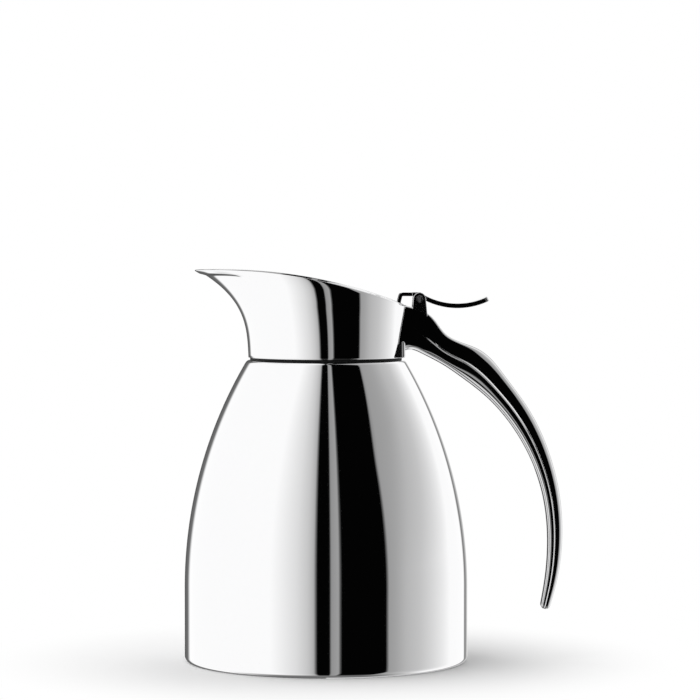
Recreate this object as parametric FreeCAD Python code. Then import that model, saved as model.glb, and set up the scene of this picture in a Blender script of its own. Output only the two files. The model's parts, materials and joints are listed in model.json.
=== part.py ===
import FreeCAD, Part

import math
import os

from FreeCAD import Vector

# Thermal beverage server: a double-wall vessel, a spout collar with a horn-shaped handle, and a
# hinged lid that a thumb lever opens. Lengths are in millimetres and angles in degrees.
# The origin is the middle of the foot. +Z is up, the spout points along -X, the handle along +X.

# Fits
overrun = 3.0             # how far a cutting body passes the face that it cuts
fixed_gap = 0.1           # between fixed pieces that slip over one another
moving_gap = 0.5          # between the lid and the pieces that it moves past
seat_gap = 0.3            # under the lid's seal, before it is pressed down
pin_gap = 0.05            # radial, pin in the lever's barrel
press_gap = 0.02          # radial, pieces pressed or screwed together
same_height = 1e-6        # two heights closer than this are one

# Vessel
body_radius = 50.0
body_straight_height = 26.0
shoulder_height = 106.4
shoulder_overhang = 0.5   # of the shoulder's corner past the collar
shoulder_rounding = 1.8
foot_rounding = 2.0
shell_wall = 0.8
foot_width = 1.9          # of the turned-in foot under the base plate
vacuum_gap = 4.6
liner_wall = 0.6
liner_floor_height = 8.0
liner_floor_rounding = 9.0
liner_top_gap = 3.0       # between the liner's shoulder and the shell's
liner_shoulder_rounding = 1.5
neck_radius = 20.2        # inside the liner's neck
lip_width = 2.2
lip_thickness = 0.6

# Base plate, evacuation plug and getter
plate_wall = 0.7
plate_inset = 1.8         # from the shell's inside to the plate's edge
plate_rim_width = 7.4
plate_step_height = 1.5
evacuation_hole_radius = 1.5
plug_head_radius = 3.2
plug_head_thickness = 1.0
plug_stem_height = 1.2
getter_radius = 5.0
getter_thickness = 1.8
getter_wall = 0.4
getter_window_share = 0.5  # of the pellet's radius

# Joint between the vessel and the head
gasket_thickness = 1.0
gasket_recess = 0.6
gasket_width = 2.2
ferrule_wall = 1.8
ferrule_height = 6.2
ferrule_headroom = 1.0    # over the ferrule, inside the insert
skirt_wall = 2.1          # of the insert, outside the ferrule
seal_thickness = 1.2
seal_width = 1.9

# Spout collar
collar_flare = 1.3        # added to the radius at the rim
collar_wall = 0.8
spout_reach = 17.2
spout_power = 3.1         # how late the spout leaves the collar, going up
spout_spread = 24.0       # half-angle of the spout, seen from above
egg_reach = 5.0           # of the spout's reach, as a broad swelling of the whole front
egg_power = 2.0           # how late the swelling leaves the collar, going up
rim_rise = 31.0           # from the seam to the rim's highest point
rim_apex_offset = 39.0    # from the axis towards the spout
rim_arc_radius = 185.0
bead_height = 1.8
bead_projection = 0.5
collar_half_points = 14   # on each side of a section of the collar

# Collar insert
insert_floor_thickness = 2.0
pour_step = 1.7           # from the neck's radius in to the pouring opening

# Lid
lid_drop = 1.0            # below the rim
cover_wall = 1.0
plug_taper = 1.2          # added to the radius from the plug's bottom to the rim
plug_wall = 1.6
plug_floor = 2.4
seat_width = 0.7          # from the pouring opening out to the seal
plug_boss_height = 0.9
lid_seal_width = 2.6
lid_seal_thickness = 1.2
insulation_headroom = 2.4
stud_radius = 2.0
nut_radius = 4.0
nut_thickness = 1.6

# Hinge and thumb lever
pin_offset = 5.5          # from the collar's radius at the seam to the pin
pin_above_rim = 2.0       # over the rim at the collar's back
pin_radius = 1.0
pin_head_radius = 1.3
pin_head_thickness = 0.5
barrel_radius = 2.2
barrel_half = 3.8
ear_thickness = 2.2
ear_top_radius = 2.2
ear_front_share = 1.35    # of the top radius, where the ear's front edge leaves the root
ear_back_share = 1.4
ear_height_share = 4.0    # of the top radius, from the pin down to the ear's foot
lever_reach = 24.2        # from the pin to the tip of the thumb pad
lever_wall = 1.2
lever_curve_radius = 24.0
lever_low_offset = 13.3   # from the pin to the lever's lowest point
lever_low_drop = 1.7      # from the pin down to the lever's top there
pad_half = 4.9
pad_rounding = 1.6
arm_wall = 1.0
arm_toe_offset = 7.9      # from the pin to the front of the strap that carries the lid
arm_toe_length = 1.2
arm_top_offset = 6.5
foot_reach = 17.5         # from the pin to the front of the lever's foot
rivet_offset = 14.5
rivet_spacing = 4.6
rivet_radius = 0.9
rivet_tail_radius = 1.7
rivet_tail_thickness = 0.9

# Return spring on the pin
spring_wire_radius = 0.35
spring_coil_radius = 1.75
spring_pitch = 1.15
spring_quarter_turns = 11
spring_leg_length = 3.3
spring_slot_half = 2.45
spring_sample_count = 600

# Handle: the grip runs between two arcs, seen from the side
grip_radius = 69.0         # of the inner arc
grip_setback = 18.0        # from the collar's radius in to the inner arc's centre
grip_drop = 64.4           # from the seam down to the inner arc's centre
grip_outer_excess = 15.2   # of the outer arc's radius over the inner one's
grip_outer_setback = 10.0  # from the inner arc's centre to the outer one's, towards the spout
grip_outer_lift = 2.8      # and upwards
grip_angles = (57.0, 47.0, 36.0, 24.0, 11.0, -2.0, -12.0)
grip_tip_angle = -18.8
grip_half_width = 6.6
tip_half_width = 3.6
tip_thinning_share = 0.3
tip_step_shares = ((0.0, 1.0), (0.55, 0.82), (0.95, 0.36))
section_points = 16
outer_corner_power = 3.2
inner_corner_power = 2.3
# Root sections from inside the collar outwards. Underside and top: x as a share of the root's
# reach beyond the collar, z as a share of the pin's height over the seam. Then the half-widths
# there as shares of the root's, and how square the underside's corners are.
root_reach = 22.9
root_half_width = 14.4
root_section_shares = (
    ((-0.20, -0.015), (-0.20, 0.95), 0.93, 0.53, 7.0),
    ((0.040, 0.125), (0.052, 0.88), 0.77, 0.49, 5.0),
    ((0.28, 0.063), (0.40, 0.72), 0.61, 0.445, 3.2),
    ((0.56, -0.10), (0.655, 0.39), 0.49, 0.42, 2.4),
)
tail_height = 5.4          # of the root's foot on the collar
tail_half_width = 13.4
tail_depth = 0.3           # past the collar's radius
tail_taper = 3.0           # off its half-width, going up

# Fixing of the handle
backing_wall = 1.2
backing_half_width = 8.0
backing_height = 6.0
screw_rise = 12.2         # from the seam
screw_spacing = 8.6
screw_radius = 1.2
screw_head_radius = 2.1
screw_head_thickness = 1.5
screw_length = 9.0

# Sizes and levels that follow from the ones above
ferrule_inner = neck_radius + lip_width + fixed_gap
ferrule_outer = ferrule_inner + ferrule_wall
insert_radius = ferrule_outer + fixed_gap + skirt_wall
collar_radius = insert_radius + fixed_gap + collar_wall
gasket_radius = collar_radius - gasket_recess
shoulder_radius = collar_radius + shoulder_overhang
curve_height = shoulder_height - body_straight_height
curve_depth = body_radius - shoulder_radius
body_curve_radius = (curve_height ** 2 + curve_depth ** 2) / (2 * curve_depth)
plate_radius = body_radius - shell_wall - plate_inset
foot_opening_radius = plate_radius - foot_width
plate_step_radius = plate_radius - plate_rim_width
pour_radius = neck_radius - pour_step
plug_boss_radius = pour_radius + seat_width
lid_seal_inner = plug_boss_radius + press_gap
plug_bottom_radius = lid_seal_inner + lid_seal_width - fixed_gap

seam_height = shoulder_height + gasket_thickness
rim_height = seam_height + rim_rise
rim_apex_x = -rim_apex_offset
lip_top = shoulder_height + lip_thickness
ferrule_top = shoulder_height + ferrule_height
floor_bottom = ferrule_top + ferrule_headroom
seat_height = floor_bottom + insert_floor_thickness
plug_bottom = seat_height + seat_gap + lid_seal_thickness
liner_inset = shell_wall + vacuum_gap
liner_top = shoulder_height - shell_wall - liner_top_gap
plate_height = shell_wall
screw_height = seam_height + screw_rise
screw_sides = (-screw_spacing / 2, screw_spacing / 2)
everything = 2 * (body_radius + rim_height)  # longer than the whole part

rim_back_drop = rim_arc_radius - math.sqrt(rim_arc_radius ** 2 - (collar_radius - rim_apex_x) ** 2)
pin_x = collar_radius + pin_offset
pin_height = rim_height - rim_back_drop + pin_above_rim
ear_inner = barrel_half + moving_gap
ear_outer = ear_inner + ear_thickness


def tube(inner, outer, low, high):
    """A ring about the vessel's axis."""
    outside = Part.makeCylinder(outer, high - low, Vector(0, 0, low))
    return outside.cut(Part.makeCylinder(inner, high - low, Vector(0, 0, low)))


def disc(radius, low, high):
    """A solid cylinder about the vessel's axis."""
    return Part.makeCylinder(radius, high - low, Vector(0, 0, low))


def rod(radius, x, z, half):
    """A cylinder along Y, centred on the middle plane."""
    return Part.makeCylinder(radius, 2 * half, Vector(x, -half, z), Vector(0, 1, 0))


def slab(points, half):
    """A side outline given as (x, z) points, thickened along Y about the middle plane."""
    corners = [Vector(x, -half, z) for x, z in points]
    return Part.Face(Part.makePolygon(corners + corners[:1])).extrude(Vector(0, 2 * half, 0))


def revolved(edges):
    """A closed outline in the XZ plane, turned about the vessel's axis."""
    return Part.Face(Part.Wire(edges)).revolve(Vector(0, 0, 0), Vector(0, 0, 1), 360)


def rings_at(shape, height):
    """The round edges of a revolved shape at one height."""
    return [e for e in shape.Edges
            if isinstance(e.Curve, Part.Circle) and abs(e.Curve.Center.z - height) < same_height]


def vessel(inset, low, high):
    """The vessel's form, moved inwards by inset: a cylinder that curves in to the shoulder."""
    radius = body_radius - inset
    curve = body_curve_radius - inset
    centre = body_radius - body_curve_radius

    def on_curve(z):
        return Vector(centre + math.sqrt(curve ** 2 - (z - body_straight_height) ** 2), 0, z)

    foot = Vector(radius, 0, low)
    straight_end = Vector(radius, 0, body_straight_height)
    middle = on_curve((body_straight_height + high) / 2)
    top = on_curve(high)
    return revolved([
        Part.makeLine(Vector(0, 0, low), foot),
        Part.makeLine(foot, straight_end),
        Part.Arc(straight_end, middle, top).toShape(),
        Part.makeLine(top, Vector(0, 0, high)),
        Part.makeLine(Vector(0, 0, high), Vector(0, 0, low)),
    ])


def rounded_vessel(inset, low, high, low_rounding, high_rounding):
    """The vessel's form with its foot and shoulder edges rounded."""
    form = vessel(inset, low, high)
    form = form.makeFillet(low_rounding, rings_at(form, low))
    return form.makeFillet(high_rounding, rings_at(form, high))


def make_outer_shell():
    """The polished skin, with a turned-in foot and a hole for the neck."""
    skin = rounded_vessel(0, 0, shoulder_height, foot_rounding, shoulder_rounding)
    hollow = rounded_vessel(shell_wall, shell_wall, shoulder_height - shell_wall,
                            foot_rounding - shell_wall, shoulder_rounding - shell_wall)
    neck_hole = disc(neck_radius + liner_wall + fixed_gap, body_straight_height,
                     shoulder_height + overrun)
    foot_hole = disc(foot_opening_radius, -overrun, body_straight_height)
    return skin.cut(hollow).cut(neck_hole).cut(foot_hole)


def make_inner_liner():
    """The vessel that holds the drink, with a neck and a lip that lies on the shell's shoulder."""
    outside = rounded_vessel(liner_inset, liner_floor_height, liner_top,
                             liner_floor_rounding, liner_shoulder_rounding)
    inside = rounded_vessel(liner_inset + liner_wall, liner_floor_height + liner_wall,
                            liner_top - liner_wall, liner_floor_rounding - liner_wall,
                            liner_shoulder_rounding - liner_wall)
    neck = disc(neck_radius + liner_wall, body_straight_height, shoulder_height)
    lip = disc(neck_radius + lip_width, shoulder_height, lip_top)
    bore = disc(neck_radius, body_straight_height, lip_top + overrun)
    return outside.fuse(neck).fuse(lip).cut(inside).cut(bore)


def make_base_plate():
    """The plate that closes the vacuum space, stepped up in the middle for stiffness."""
    rim = tube(plate_step_radius - plate_wall, plate_radius, plate_height,
               plate_height + plate_wall)
    step_top = plate_height + plate_step_height + plate_wall
    wall = tube(plate_step_radius - plate_wall, plate_step_radius, plate_height, step_top)
    middle = disc(plate_step_radius, plate_height + plate_step_height, step_top)
    hole = disc(evacuation_hole_radius, plate_height, step_top + overrun)
    return rim.fuse(wall).fuse(middle).cut(hole).removeSplitter()


def make_evacuation_plug():
    """The plug that seals the hole through which the air was drawn out."""
    face = plate_height + plate_step_height
    head = disc(plug_head_radius, face - plug_head_thickness, face)
    stem = disc(evacuation_hole_radius - fixed_gap, face, face + plug_stem_height)
    return head.fuse(stem).removeSplitter()


def make_getter_cup():
    """The cup welded under the liner's floor, open downwards at a window."""
    low = liner_floor_height - getter_thickness - 2 * getter_wall
    outside = disc(getter_radius + 2 * getter_wall, low, liner_floor_height)
    hollow = disc(getter_radius + getter_wall, low + getter_wall, liner_floor_height - getter_wall)
    window = disc(getter_window_share * getter_radius, low - overrun, low + getter_wall)
    return outside.cut(hollow).cut(window)


def make_getter_pellet():
    """The pellet that takes up stray gas."""
    low = liner_floor_height - getter_thickness - getter_wall
    return disc(getter_radius, low, low + getter_thickness)


def collar_section(height, inset):
    """One level of the collar: a circle that swells into the spout, moved inwards by inset.

    r(a) = radius + flare*u + spout*exp(-(a/spread)^2) + egg*cos(a)*(1 + cos(a))/2, a measured
    from -X. Spout and egg grow with powers of u, the share of the way from the seam to the rim,
    and add up to the spout's outline at a = 0. The points crowd together at the spout.
    """
    share = max(height - seam_height, 0) / (rim_height - seam_height)
    points = []
    for step in range(-collar_half_points, collar_half_points):
        part = step / collar_half_points
        angle = math.pi * part * math.sqrt(abs(part))
        bump = math.exp(-(angle / math.radians(spout_spread)) ** 2)
        swell = math.cos(angle) * (1 + math.cos(angle)) / 2 - bump
        radius = (collar_radius + collar_flare * share + spout_reach * share ** spout_power * bump
                  + egg_reach * share ** egg_power * swell)
        slope = (collar_flare + spout_reach * spout_power * share ** (spout_power - 1) * bump
                 + egg_reach * egg_power * share ** (egg_power - 1) * swell)
        slope /= rim_height - seam_height
        radius -= inset * math.sqrt(1 + slope ** 2)
        points.append(Vector(-radius * math.cos(angle), radius * math.sin(angle), height))
    return smooth_ring(points)


def smooth_ring(points):
    """A closed smooth curve through points, evenly paced so that sections match one another."""
    curve = Part.BSplineCurve()
    pace = [float(i) for i in range(len(points) + 1)]
    curve.interpolate(Points=points, PeriodicFlag=True, Parameters=pace)
    return Part.Wire(curve.toShape())


def collar_form(inset):
    """The collar as a solid form from below the seam to above the rim, moved inwards by inset."""
    level_shares = (0.0, 0.2, 0.4, 0.55, 0.68, 0.78, 0.86, 0.93, 1.0, 1.06)
    heights = [seam_height + share * (rim_height - seam_height) for share in level_shares]
    heights.insert(0, seam_height - overrun)
    return Part.makeLoft([collar_section(height, inset) for height in heights], True)


def under_rim(drop):
    """Everything below the rim's arc, lowered by drop."""
    return rod(rim_arc_radius - drop, rim_apex_x, rim_height - rim_arc_radius, body_radius)


def above(height):
    """A wide block that starts at a height."""
    return Part.makeBox(everything, everything, everything,
                        Vector(-everything / 2, -everything / 2, height))


def beyond(x):
    """A wide block that starts at an x."""
    return Part.makeBox(everything, everything, everything,
                        Vector(x, -everything / 2, -everything / 2))


def make_spout_collar():
    """The polished head: a thin wall with a thickened rim and holes for the handle's screws."""
    wall = collar_form(0).common(under_rim(0)).common(above(seam_height))
    band = under_rim(0).cut(under_rim(bead_height))
    bead = collar_form(-bead_projection).common(band)
    collar = wall.fuse(bead).cut(collar_form(collar_wall)).removeSplitter()
    return cut_all(collar, screw_holes(screw_radius + fixed_gap))


def make_collar_insert():
    """The plastic body in the collar: it screws onto the ferrule and seats the lid's seal."""
    body = collar_form(collar_wall + fixed_gap).common(above(seam_height)).cut(above(seat_height))
    skirt_outer = ferrule_inner - fixed_gap
    skirt_bottom = lip_top + seal_thickness
    return cut_all(body, [
        disc(pour_radius, seam_height - overrun, seat_height + overrun),
        disc(skirt_outer, seam_height - overrun, skirt_bottom),
        disc(neck_radius + fixed_gap, seam_height - overrun, floor_bottom),
        tube(skirt_outer, ferrule_outer + fixed_gap, seam_height - overrun,
             ferrule_top + fixed_gap),
    ])


def cut_all(shape, tools):
    """Cut several bodies from a shape, one after another."""
    for tool in tools:
        shape = shape.cut(tool)
    return shape


def fuse_all(shapes):
    """Join several shapes that meet into one solid."""
    return shapes[0].multiFuse(shapes[1:]).removeSplitter()


def screw_holes(radius):
    """The runs of the two screws that hold the handle, from inside the collar outwards."""
    return [Part.makeCylinder(radius, collar_radius, Vector(collar_radius / 2, side, screw_height),
                              Vector(1, 0, 0))
            for side in screw_sides]


def screw_seat():
    """The x of the face that the screw heads press on, inside the backing plate."""
    inner = collar_radius - collar_wall - fixed_gap - backing_wall
    return math.sqrt(inner ** 2 - (screw_spacing / 2 + screw_head_radius) ** 2)


def make_handle_screws():
    """Two screws, heads inside the collar."""
    seat = screw_seat()
    screws = []
    for side in screw_sides:
        head = Part.makeCylinder(screw_head_radius, screw_head_thickness,
                                 Vector(seat - screw_head_thickness, side, screw_height),
                                 Vector(1, 0, 0))
        shank = Part.makeCylinder(screw_radius, screw_length, Vector(seat, side, screw_height),
                                  Vector(1, 0, 0))
        screws.append(head.fuse(shank).removeSplitter())
    return Part.makeCompound(screws)


def make_backing_plate():
    """The plate inside the collar that spreads the pull of the handle's screws."""
    shell = collar_form(collar_wall + fixed_gap)
    shell = shell.cut(collar_form(collar_wall + fixed_gap + backing_wall))
    window = Part.makeBox(everything, 2 * backing_half_width, backing_height,
                          Vector(0, -backing_half_width, screw_height - backing_height / 2))
    return cut_all(shell.common(window), screw_holes(screw_radius + fixed_gap) + screw_head_seats())


def screw_head_seats():
    """Flat seats for the screw heads in the curved backing plate."""
    return [Part.makeCylinder(screw_head_radius + fixed_gap, screw_seat(),
                              Vector(0, side, screw_height), Vector(1, 0, 0))
            for side in screw_sides]


def rounded_square(angle, under_power, over_power):
    """A point on a unit superellipse whose power is set apart on its two sides."""
    across, side = math.cos(angle), math.sin(angle)
    power = 2 / (over_power if across > 0 else under_power)
    return math.copysign(abs(across) ** power, across), math.copysign(abs(side) ** power, side)


def handle_section(under, top, under_half, top_half, under_power=inner_corner_power):
    """One section of the handle between its underside and its top or outer edge.

    A superellipse with its own power on each side, whose half-width runs evenly between two values.
    """
    middle = (under + top) / 2
    reach = (top - under) / 2
    points = []
    for step in range(section_points):
        across, side = rounded_square(2 * math.pi * step / section_points, under_power,
                                      outer_corner_power)
        half = under_half + (top_half - under_half) * (across + 1) / 2
        points.append(middle + reach * across + Vector(0, half * side, 0))
    return smooth_ring(points)


def grip_edges(angle):
    """The grip's inner and outer edge on a ray from the inner arc's centre.

    The ray meets the outer arc too. The tip is thinned on the inner side.
    """
    turn = math.radians(angle)
    ray = Vector(math.cos(turn), 0, math.sin(turn))
    centre = Vector(collar_radius - grip_setback, 0, seam_height - grip_drop)
    inner = centre + ray * grip_radius
    outer_radius = grip_radius + grip_outer_excess
    shift = Vector(grip_outer_setback, 0, -grip_outer_lift)
    along = shift.dot(ray)
    outer = centre + ray * (math.sqrt(along ** 2 - shift.dot(shift) + outer_radius ** 2) - along)
    thinning = tip_thinning_share * (min(angle, 0) / grip_tip_angle) ** 2
    return inner + (outer - inner) * thinning, outer


def root_point(shares):
    """A point of the root in the middle plane, from its shares of the root's reach and height."""
    return Vector(collar_radius + shares[0] * root_reach, 0,
                  seam_height + shares[1] * (pin_height - seam_height))


def handle_form():
    """The handle from inside the collar to its rounded tip, in one smooth run of sections."""
    sections = []
    for under, top, under_half, top_half, under_power in root_section_shares:
        sections.append(handle_section(root_point(under), root_point(top),
                                       under_half * root_half_width, top_half * root_half_width,
                                       under_power))
    first = grip_angles[0]
    for angle in grip_angles:
        inner, outer = grip_edges(angle)
        share = ((first - angle) / (first - grip_tip_angle)) ** 2
        half = grip_half_width + (tip_half_width - grip_half_width) * share
        sections.append(handle_section(inner, outer, half, half))
    inner, outer = grip_edges(grip_tip_angle)
    middle = (inner + outer) / 2
    thickness = (outer - inner).Length
    turn = math.radians(grip_tip_angle)
    onward = Vector(math.sin(turn), 0, -math.cos(turn))
    for step_share, size_share in tip_step_shares:
        shift = onward * (step_share * thickness / 2)
        half = tip_half_width * size_share
        sections.append(handle_section(middle + (inner - middle) * size_share + shift,
                                       middle + (outer - middle) * size_share + shift, half, half))
    return Part.makeLoft(sections, True)


def tail_form():
    """The root's foot: a wedge behind the collar, down to the seam."""
    low, high = seam_height + fixed_gap, seam_height + tail_height
    narrow = tail_half_width - tail_taper
    corners = [
        Vector(neck_radius, -tail_half_width, low),
        Vector(neck_radius, tail_half_width, low),
        Vector(neck_radius, narrow, high),
        Vector(neck_radius, -narrow, high),
    ]
    face = Part.Face(Part.makePolygon(corners + corners[:1]))
    return face.extrude(Vector(collar_radius + tail_depth - neck_radius, 0, 0))


def make_handle():
    """The handle with its root on the collar and two ears that hold the hinge pin."""
    ear_foot = pin_height - ear_height_share * ear_top_radius
    ears = slab((
        (pin_x - ear_front_share * ear_top_radius, ear_foot),
        (pin_x - ear_top_radius, pin_height),
        (pin_x + ear_top_radius, pin_height),
        (pin_x + ear_back_share * ear_top_radius, ear_foot),
    ), ear_outer).fuse(rod(ear_top_radius, pin_x, pin_height, ear_outer))
    gap = Part.makeBox(everything, 2 * ear_inner, everything,
                       Vector(-everything / 2, -ear_inner, 0))
    bead_seat = collar_form(-bead_projection - fixed_gap).cut(under_rim(bead_height + fixed_gap))
    body = fuse_all([handle_form(), tail_form(), ears.cut(gap)])
    body = body.cut(collar_form(-fixed_gap)).cut(bead_seat)
    pin_run = rod(pin_radius + press_gap, pin_x, pin_height, everything)
    head_seats = rod(pin_head_radius + press_gap, pin_x, pin_height, everything)
    head_seats = head_seats.cut(rod(pin_head_radius + press_gap, pin_x, pin_height,
                                    ear_outer - pin_head_thickness))
    screw_ends = beyond(screw_seat() + screw_length)
    screw_runs = [run.cut(screw_ends) for run in screw_holes(screw_radius + press_gap)]
    return cut_all(body, [pin_run, head_seats] + screw_runs)


def make_hinge_pin():
    """The pin, pressed into the ears, with a flush head at each end."""
    head = rod(pin_head_radius, pin_x, pin_height, ear_outer)
    head = head.cut(rod(pin_head_radius, pin_x, pin_height, ear_outer - pin_head_thickness))
    return rod(pin_radius, pin_x, pin_height, ear_outer).fuse(head).removeSplitter()


def make_lid_cover():
    """The polished plate inside the rim; it follows the rim's arc and fills the spout too."""
    plate = collar_form(collar_wall + moving_gap)
    plate = plate.common(under_rim(lid_drop)).cut(under_rim(lid_drop + cover_wall))
    return cut_all(plate, rivet_runs(rivet_radius + press_gap, -overrun,
                                     lid_drop + cover_wall + overrun))


def rim_point(x, drop):
    """The height of the rim's arc at x, lowered by drop."""
    arc = rim_arc_radius - drop
    return rim_height - rim_arc_radius + math.sqrt(arc ** 2 - (x - rim_apex_x) ** 2)


def rivet_runs(radius, top_drop, bottom_drop):
    """Two upright cylinders at the rivets, between two depths below the rim's arc."""
    x = pin_x - rivet_offset
    low = rim_point(x, bottom_drop)
    return [Part.makeCylinder(radius, rim_point(x, top_drop) - low, Vector(x, side, low))
            for side in (-rivet_spacing / 2, rivet_spacing / 2)]


def make_lever_rivets():
    """Two rivets through the lever's foot and the cover, closed under the cover."""
    under = lid_drop + cover_wall
    shanks = rivet_runs(rivet_radius, -overrun, under + rivet_tail_thickness)
    tails = rivet_runs(rivet_tail_radius, 0, under + rivet_tail_thickness)
    rivets = []
    for shank, tail in zip(shanks, tails):
        shank = shank.common(under_rim(fixed_gap))
        rivets.append(shank.fuse(tail.common(under_rim(under))).removeSplitter())
    return Part.makeCompound(rivets)


def make_thumb_lever():
    """One piece: the foot on the cover, the arm over the rim, the barrel and the thumb pad."""
    foot = slab(((pin_x - foot_reach, 0), (pin_x - arm_toe_offset, 0),
                 (pin_x - arm_toe_offset, rim_height), (pin_x - foot_reach, rim_height)), barrel_half)
    foot = foot.common(under_rim(fixed_gap)).cut(under_rim(lid_drop))
    toe = pin_x - arm_toe_offset
    toe_top = rim_point(toe, fixed_gap)
    toe_bottom = rim_point(toe + arm_toe_length, lid_drop + cover_wall)
    top = pin_height + barrel_radius
    arm = slab((
        (toe, toe_bottom),
        (toe, toe_top),
        (pin_x - arm_top_offset, top),
        (pin_x, top),
        (pin_x, top - arm_wall),
        (pin_x - arm_top_offset + arm_wall, top - arm_wall),
        (toe + arm_toe_length, toe_top),
        (toe + arm_toe_length, toe_bottom),
    ), barrel_half).cut(under_rim(lid_drop))
    barrel = rod(barrel_radius, pin_x, pin_height, barrel_half)
    low_x = pin_x + lever_low_offset
    curve_z = pin_height - lever_low_drop + lever_curve_radius
    band = rod(lever_curve_radius + lever_wall, low_x, curve_z, pad_half)
    band = band.cut(rod(lever_curve_radius, low_x, curve_z, pad_half))
    lever = fuse_all([foot, arm, barrel, lever_plan(curve_z).common(band)])
    slot = rod(barrel_radius + moving_gap / 2, pin_x, pin_height, spring_slot_half)
    return cut_all(lever, [slot, rod(pin_radius + pin_gap, pin_x, pin_height, ear_outer)]
                   + rivet_runs(rivet_radius + press_gap, -overrun, lid_drop + overrun))


def lever_plan(height):
    """The lever seen from above: a strip that widens a little to its round-cornered tip."""
    tip_x = pin_x + lever_reach
    outline = [
        Vector(pin_x, -barrel_half, 0),
        Vector(tip_x, -pad_half, 0),
        Vector(tip_x, pad_half, 0),
        Vector(pin_x, barrel_half, 0),
    ]
    strip = Part.Face(Part.makePolygon(outline + outline[:1])).extrude(Vector(0, 0, height))
    corners = [e for e in strip.Edges
               if all(abs(v.X - tip_x) < same_height for v in e.Vertexes)
               and abs(e.Vertexes[0].Z - e.Vertexes[1].Z) > same_height]
    return strip.makeFillet(pad_rounding, corners)


def plug_cone(inset, low):
    """The lid plug's tapered form, moved inwards by inset, up to the cover's underside."""
    rate = plug_taper / (rim_height - plug_bottom)
    start = plug_bottom_radius - inset + rate * (low - plug_bottom)
    end = plug_bottom_radius - inset + plug_taper
    cone = Part.makeCone(start, end, rim_height - low, Vector(0, 0, low))
    return cone.common(under_rim(lid_drop + cover_wall))


def make_lid_plug():
    """The plastic bung: a cup under the cover, with a boss that centres the seal."""
    cup = plug_cone(0, plug_bottom).cut(plug_cone(plug_wall, plug_bottom + plug_floor))
    boss = disc(plug_boss_radius, plug_bottom - plug_boss_height, plug_bottom)
    nut_seat = disc(nut_radius + fixed_gap, plug_bottom - plug_boss_height - overrun,
                    plug_bottom - plug_boss_height + nut_thickness)
    bore = disc(stud_radius + fixed_gap, plug_bottom - overrun, plug_bottom + plug_floor + overrun)
    return cut_all(cup.fuse(boss).removeSplitter(), [nut_seat, bore])


def make_lid_insulation():
    """Foam that fills the plug, clear of the rivets under the cover."""
    filling = plug_cone(plug_wall + fixed_gap, plug_bottom + plug_floor)
    filling = filling.common(under_rim(lid_drop + cover_wall + insulation_headroom))
    return filling.cut(disc(stud_radius + fixed_gap, plug_bottom, rim_height))


def make_lid_stud():
    """The stud welded under the cover; the nut on it holds the plug."""
    low = plug_bottom - plug_boss_height
    return disc(stud_radius, low, rim_height).common(under_rim(lid_drop + cover_wall))


def make_lid_nut():
    """The flat nut let into the plug's floor."""
    low = plug_bottom - plug_boss_height
    return tube(stud_radius + press_gap, nut_radius, low, low + nut_thickness)


def make_lid_seal():
    """The silicone ring between the plug and the insert's seat."""
    return tube(lid_seal_inner, lid_seal_inner + lid_seal_width,
                seat_height + seat_gap, plug_bottom)


def arc_edge(start, end, direction):
    """The arc from start to end that leaves start along direction."""
    chord = end - start
    along = chord / chord.Length
    across = direction - along * direction.dot(along)
    turn = math.atan2(across.Length, direction.dot(along))
    middle = (start + end) / 2 + across / across.Length * (chord.Length / 2 * math.tan(turn / 2))
    return Part.Arc(start, middle, end).toShape()


def biarc(start, start_way, end, end_way):
    """Two arcs that join two points smoothly, with the given directions at the ends."""
    gap = end - start
    ways = start_way + end_way
    spread = 2 * (1 - start_way.dot(end_way))
    reach = (math.sqrt(gap.dot(ways) ** 2 + spread * gap.dot(gap)) - gap.dot(ways)) / spread
    joint = (start + end + (start_way - end_way) * reach) / 2
    second = arc_edge(end, joint, end_way * -1)
    return [arc_edge(start, joint, start_way), second]


def spring_point(quarter):
    """The middle of the spring's wire after some quarter turns, and the way that it runs."""
    angle = quarter * math.pi / 2
    lead = spring_pitch / (2 * math.pi)
    start = -spring_pitch * spring_quarter_turns / 8
    point = Vector(pin_x + spring_coil_radius * math.cos(angle), start + lead * angle,
                   pin_height + spring_coil_radius * math.sin(angle))
    way = Vector(-spring_coil_radius * math.sin(angle), lead, spring_coil_radius * math.cos(angle))
    return point, way / way.Length


def least_gap(wire):
    """The least gap between the spring's turns, measured on points along its middle line."""
    points = wire.discretize(spring_sample_count)
    half_turn = math.pi * spring_coil_radius
    apart = math.ceil(half_turn / wire.Length * spring_sample_count)
    nearest = min((points[i] - points[j]).Length
                  for i in range(len(points)) for j in range(i + apart, len(points)))
    return nearest - 2 * spring_wire_radius


def make_lid_spring():
    """A torsion spring on the pin: one leg on the handle's root, one under the lever."""
    edges = []
    first, first_way = spring_point(0)
    last, last_way = spring_point(spring_quarter_turns)
    foot = first - first_way * spring_leg_length
    edges.append(Part.makeLine(foot, first))
    for quarter in range(spring_quarter_turns):
        edges += biarc(*spring_point(quarter), *spring_point(quarter + 1))
    edges.append(Part.makeLine(last, last + last_way * spring_leg_length))
    wire = Part.Wire(Part.__sortEdges__(edges))
    print(f"least gap of the spring to itself: {least_gap(wire):.2f} mm")
    profile = Part.Wire(Part.makeCircle(spring_wire_radius, foot, first_way))
    sweep = Part.BRepOffsetAPI.MakePipeShell(wire)
    sweep.add(profile)
    sweep.build()
    sweep.makeSolid()
    return sweep.shape()


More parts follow.
